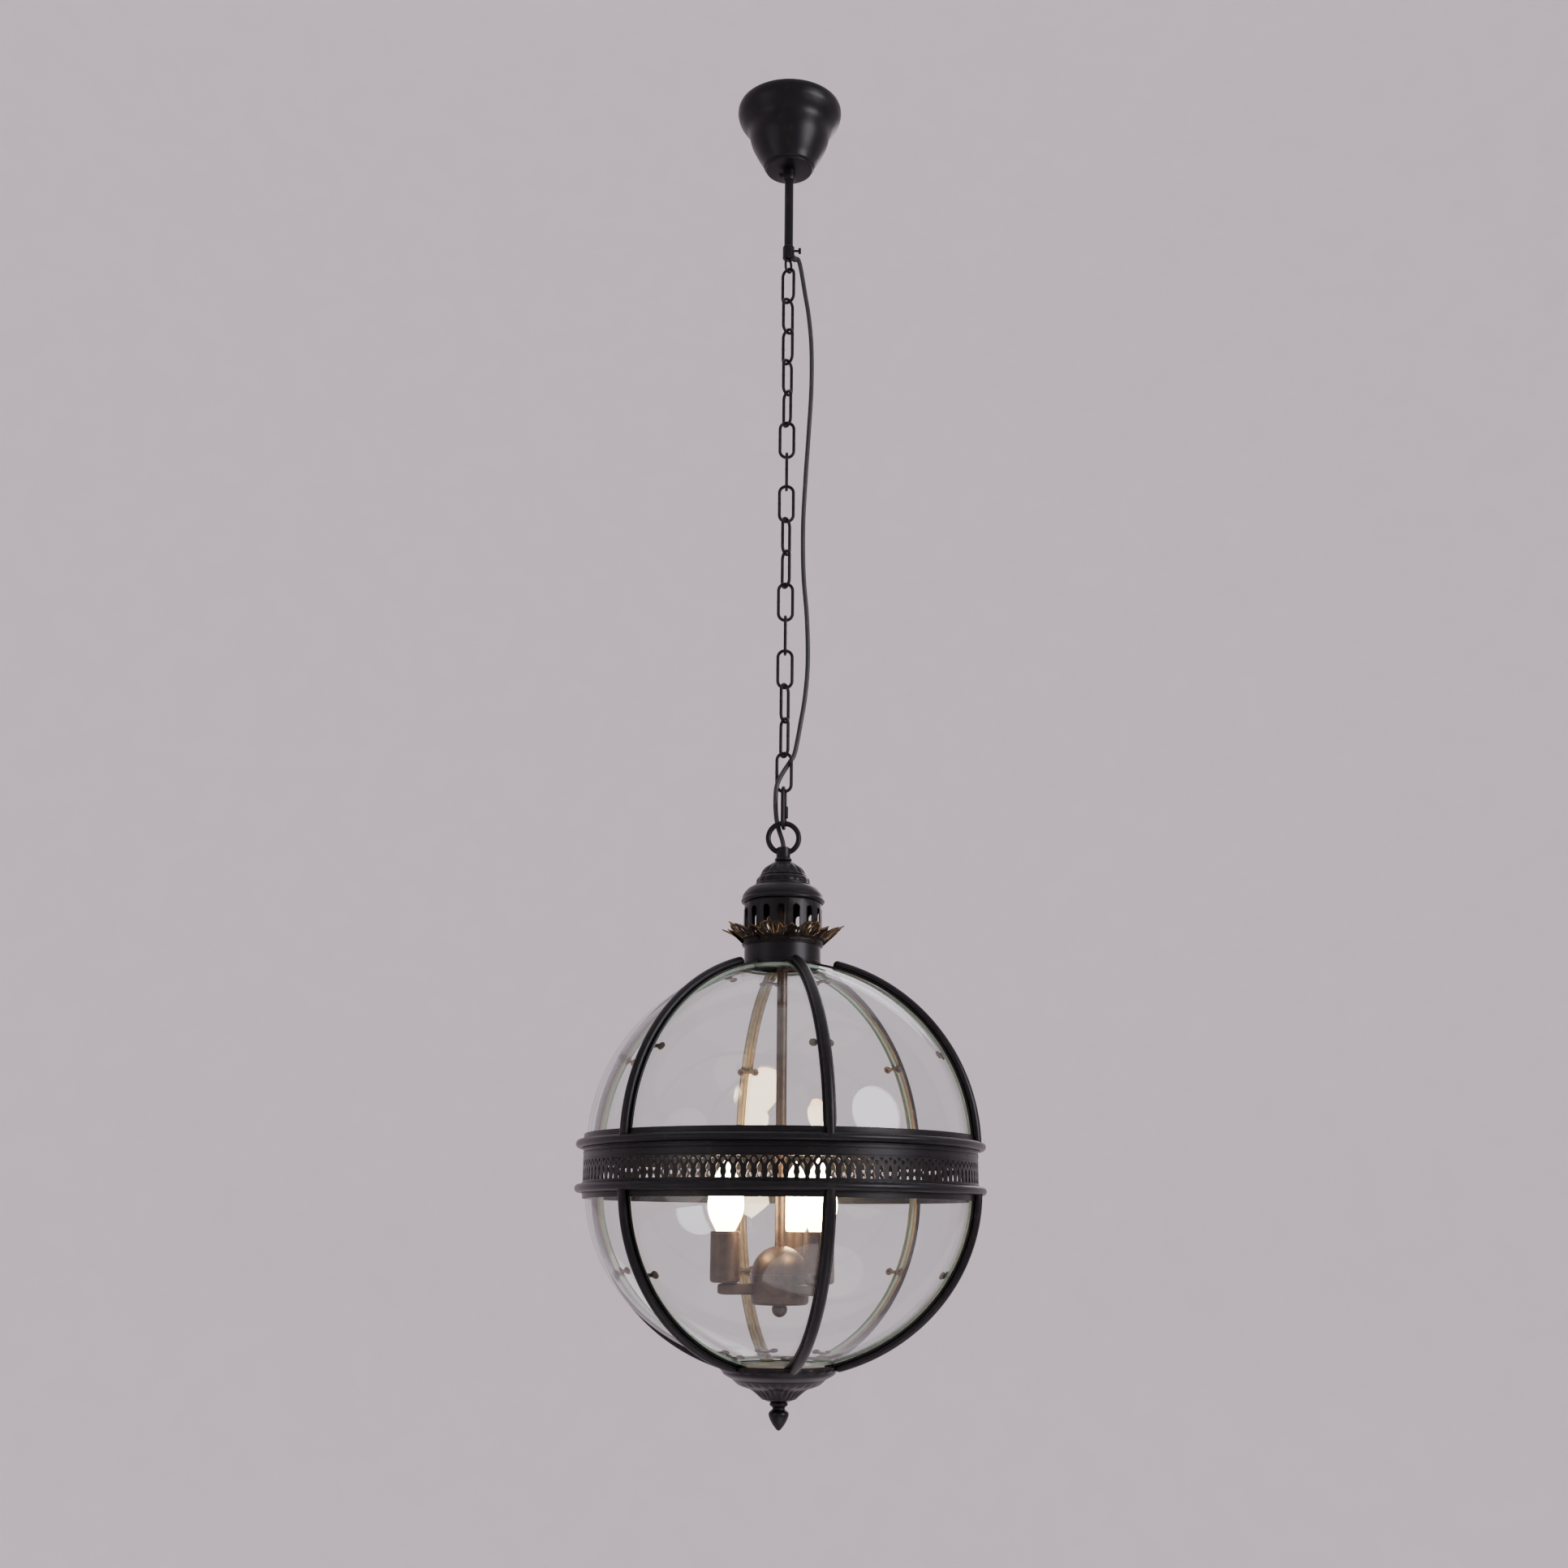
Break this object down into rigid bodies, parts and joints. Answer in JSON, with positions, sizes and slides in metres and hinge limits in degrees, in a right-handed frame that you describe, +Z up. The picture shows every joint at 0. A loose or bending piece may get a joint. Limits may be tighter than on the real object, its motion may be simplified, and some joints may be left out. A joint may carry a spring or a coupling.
{
  "type": "hanging lantern",
  "caption": "Round glass globe lantern in a black metal cage with a pierced belt, crown and coronet, lit by candle bulbs, hung from a ceiling canopy by an oval-link chain.",
  "frame": {"origin": "the middle of the plate's face that lies on the ceiling", "axes": "+Z up, out of the ceiling face; the front is towards -Y and +X is to the right of someone looking at the front"},
  "size_m": [0.4, 0.4, 1.4289],
  "materials": {
    "black_iron": "satin black with a slight wear to bare brown on edges",
    "dark_bronze": "dark bronze with rubbed highlights",
    "zinc_steel": "zinc plated",
    "white_ceramic": "matt",
    "black_cord": "matt black sheath",
    "clear_glass": "clear and bent, with a green edge",
    "lit_bulb": "lit, warm white"
  },
  "bodies": {
    "fixture": {"ceiling_plate": "zinc_steel", "stem_stirrup": "zinc_steel", "terminal_block": "white_ceramic", "stem_tube": "black_iron", "stem_coupler": "black_iron", "supply_cord": "black_cord"},
    "canopy": {"canopy": "black_iron", "canopy_collar": "black_iron"},
    "canopy_set_screw": {"canopy_set_screw": "black_iron"},
    "coupler_thumbscrew": {"coupler_thumbscrew": "black_iron"},
    "chain_link_01": {"chain_link_01": "black_iron"},
    "chain_link_02": {"chain_link_02": "black_iron"},
    "chain_link_03": {"chain_link_03": "black_iron"},
    "chain_link_04": {"chain_link_04": "black_iron"},
    "chain_link_05": {"chain_link_05": "black_iron"},
    "chain_link_06": {"chain_link_06": "black_iron"},
    "chain_link_07": {"chain_link_07": "black_iron"},
    "chain_link_08": {"chain_link_08": "black_iron"},
    "chain_link_09": {"chain_link_09": "black_iron"},
    "chain_link_10": {"chain_link_10": "black_iron"},
    "chain_link_11": {"chain_link_11": "black_iron"},
    "chain_link_12": {"chain_link_12": "black_iron"},
    "chain_link_13": {"chain_link_13": "black_iron"},
    "chain_link_14": {"chain_link_14": "black_iron"},
    "chain_link_15": {"chain_link_15": "black_iron"},
    "chain_link_16": {"chain_link_16": "black_iron"},
    "quick_link": {"quick_link": "black_iron"},
    "quick_link_nut": {"quick_link_nut": "black_iron"},
    "lantern": {"hanging_loop": "black_iron", "crown_nut": "zinc_steel", "crown_dome": "black_iron", "vent_gallery": "black_iron", "coronet": "dark_bronze", "upper_frame": "black_iron", "gallery_strip": "black_iron", "lower_frame": "black_iron", "base_cup": "black_iron", "glass_upper_1": "clear_glass", "glass_upper_2": "clear_glass", "glass_upper_3": "clear_glass", "glass_upper_4": "clear_glass", "glass_upper_5": "clear_glass", "glass_upper_6": "clear_glass", "glass_lower_1": "clear_glass", "glass_lower_2": "clear_glass", "glass_lower_3": "clear_glass", "glass_lower_4": "clear_glass", "glass_lower_5": "clear_glass", "glass_lower_6": "clear_glass", "centre_rod": "dark_bronze", "cluster_cup": "dark_bronze", "cluster_arms": "dark_bronze", "candle_sleeve_1": "dark_bronze", "candle_sleeve_2": "dark_bronze", "candle_sleeve_3": "dark_bronze", "cluster_knob": "dark_bronze"},
    "finial": {"finial": "black_iron"},
    "bulb_1": {"bulb_1": "lit_bulb"},
    "bulb_2": {"bulb_2": "lit_bulb"},
    "bulb_3": {"bulb_3": "lit_bulb"}
  },
  "joints": [
    {"name": "link_01_swing", "type": "hinge", "parent": "fixture", "child": "chain_link_01", "pos_m": [0, 0, -0.2081], "axis": [0.5878, 0.809, 0], "range_deg": [-10, 10], "deforming": ["supply_cord"]},
    {"name": "link_02_swing", "type": "hinge", "parent": "chain_link_01", "child": "chain_link_02", "pos_m": [0, 0, -0.24605], "axis": [0.809, -0.5878, 0], "range_deg": [-10, 10]},
    {"name": "link_03_swing", "type": "hinge", "parent": "chain_link_02", "child": "chain_link_03", "pos_m": [0, 0, -0.28345], "axis": [0.6691, 0.7431, 0], "range_deg": [-10, 10]},
    {"name": "link_04_swing", "type": "hinge", "parent": "chain_link_03", "child": "chain_link_04", "pos_m": [0, 0, -0.32085], "axis": [0.6691, -0.7431, 0], "range_deg": [-10, 10]},
    {"name": "link_05_swing", "type": "hinge", "parent": "chain_link_04", "child": "chain_link_05", "pos_m": [0, 0, -0.35825], "axis": [0.5878, 0.809, 0], "range_deg": [-10, 10]},
    {"name": "link_06_swing", "type": "hinge", "parent": "chain_link_05", "child": "chain_link_06", "pos_m": [0, 0, -0.39565], "axis": [-0.5, 0.866, 0], "range_deg": [-10, 10]},
    {"name": "link_07_swing", "type": "hinge", "parent": "chain_link_06", "child": "chain_link_07", "pos_m": [0, 0, -0.43305], "axis": [1, 0, 0], "range_deg": [-10, 10]},
    {"name": "link_08_swing", "type": "hinge", "parent": "chain_link_07", "child": "chain_link_08", "pos_m": [0, 0, -0.47045], "axis": [0, 1, 0], "range_deg": [-10, 10]},
    {"name": "link_09_swing", "type": "hinge", "parent": "chain_link_08", "child": "chain_link_09", "pos_m": [0, 0, -0.50785], "axis": [1, 0, 0], "range_deg": [-10, 10]},
    {"name": "link_10_swing", "type": "hinge", "parent": "chain_link_09", "child": "chain_link_10", "pos_m": [0, 0, -0.54525], "axis": [0.5, 0.866, 0], "range_deg": [-10, 10]},
    {"name": "link_11_swing", "type": "hinge", "parent": "chain_link_10", "child": "chain_link_11", "pos_m": [0, 0, -0.58265], "axis": [-0.5, 0.866, 0], "range_deg": [-10, 10]},
    {"name": "link_12_swing", "type": "hinge", "parent": "chain_link_11", "child": "chain_link_12", "pos_m": [0, 0, -0.62005], "axis": [1, 0, 0], "range_deg": [-10, 10]},
    {"name": "link_13_swing", "type": "hinge", "parent": "chain_link_12", "child": "chain_link_13", "pos_m": [0, 0, -0.65745], "axis": [0, 1, 0], "range_deg": [-10, 10]},
    {"name": "link_14_swing", "type": "hinge", "parent": "chain_link_13", "child": "chain_link_14", "pos_m": [0, 0, -0.69485], "axis": [1, 0, 0], "range_deg": [-10, 10]},
    {"name": "link_15_swing", "type": "hinge", "parent": "chain_link_14", "child": "chain_link_15", "pos_m": [0, 0, -0.73225], "axis": [0.5, 0.866, 0], "range_deg": [-10, 10]},
    {"name": "link_16_swing", "type": "hinge", "parent": "chain_link_15", "child": "chain_link_16", "pos_m": [0, 0, -0.76965], "axis": [-0.5, 0.866, 0], "range_deg": [-10, 10]},
    {"name": "quick_link_swing", "type": "hinge", "parent": "chain_link_16", "child": "quick_link", "pos_m": [0, 0, -0.80705], "axis": [1, 0, 0], "range_deg": [-10, 10]},
    {"name": "lantern_swing", "type": "hinge", "parent": "quick_link", "child": "lantern", "pos_m": [0, 0, -0.8455], "axis": [0.1736, 0.9848, 0], "range_deg": [-10, 10]},
    {"name": "canopy_slide", "type": "slide", "parent": "fixture", "child": "canopy", "axis": [0, 0, 1], "range_m": [-0.08, 0]},
    {"name": "canopy_set_screw_turn", "type": "hinge", "parent": "canopy", "child": "canopy_set_screw", "pos_m": [-0.008, 0, -0.0853], "axis": [1, 0, 0], "continuous": true},
    {"name": "coupler_thumbscrew_turn", "type": "hinge", "parent": "fixture", "child": "coupler_thumbscrew", "pos_m": [0.011, 0, -0.1816], "axis": [1, 0, 0], "continuous": true},
    {"name": "quick_link_nut_slide", "type": "slide", "parent": "quick_link", "child": "quick_link_nut", "axis": [0, 0, 1], "range_m": [-0.004, 0.009]},
    {"name": "finial_turn", "type": "hinge", "parent": "lantern", "child": "finial", "pos_m": [0, 0, -1.41294], "axis": [0, 0, 1], "continuous": true},
    {"name": "bulb_1_lift", "type": "slide", "parent": "lantern", "child": "bulb_1", "axis": [0, 0, 1], "range_m": [0, 0.028]},
    {"name": "bulb_2_lift", "type": "slide", "parent": "lantern", "child": "bulb_2", "axis": [0, 0, 1], "range_m": [0, 0.028]},
    {"name": "bulb_3_lift", "type": "slide", "parent": "lantern", "child": "bulb_3", "axis": [0, 0, 1], "range_m": [0, 0.028]}
  ]
}
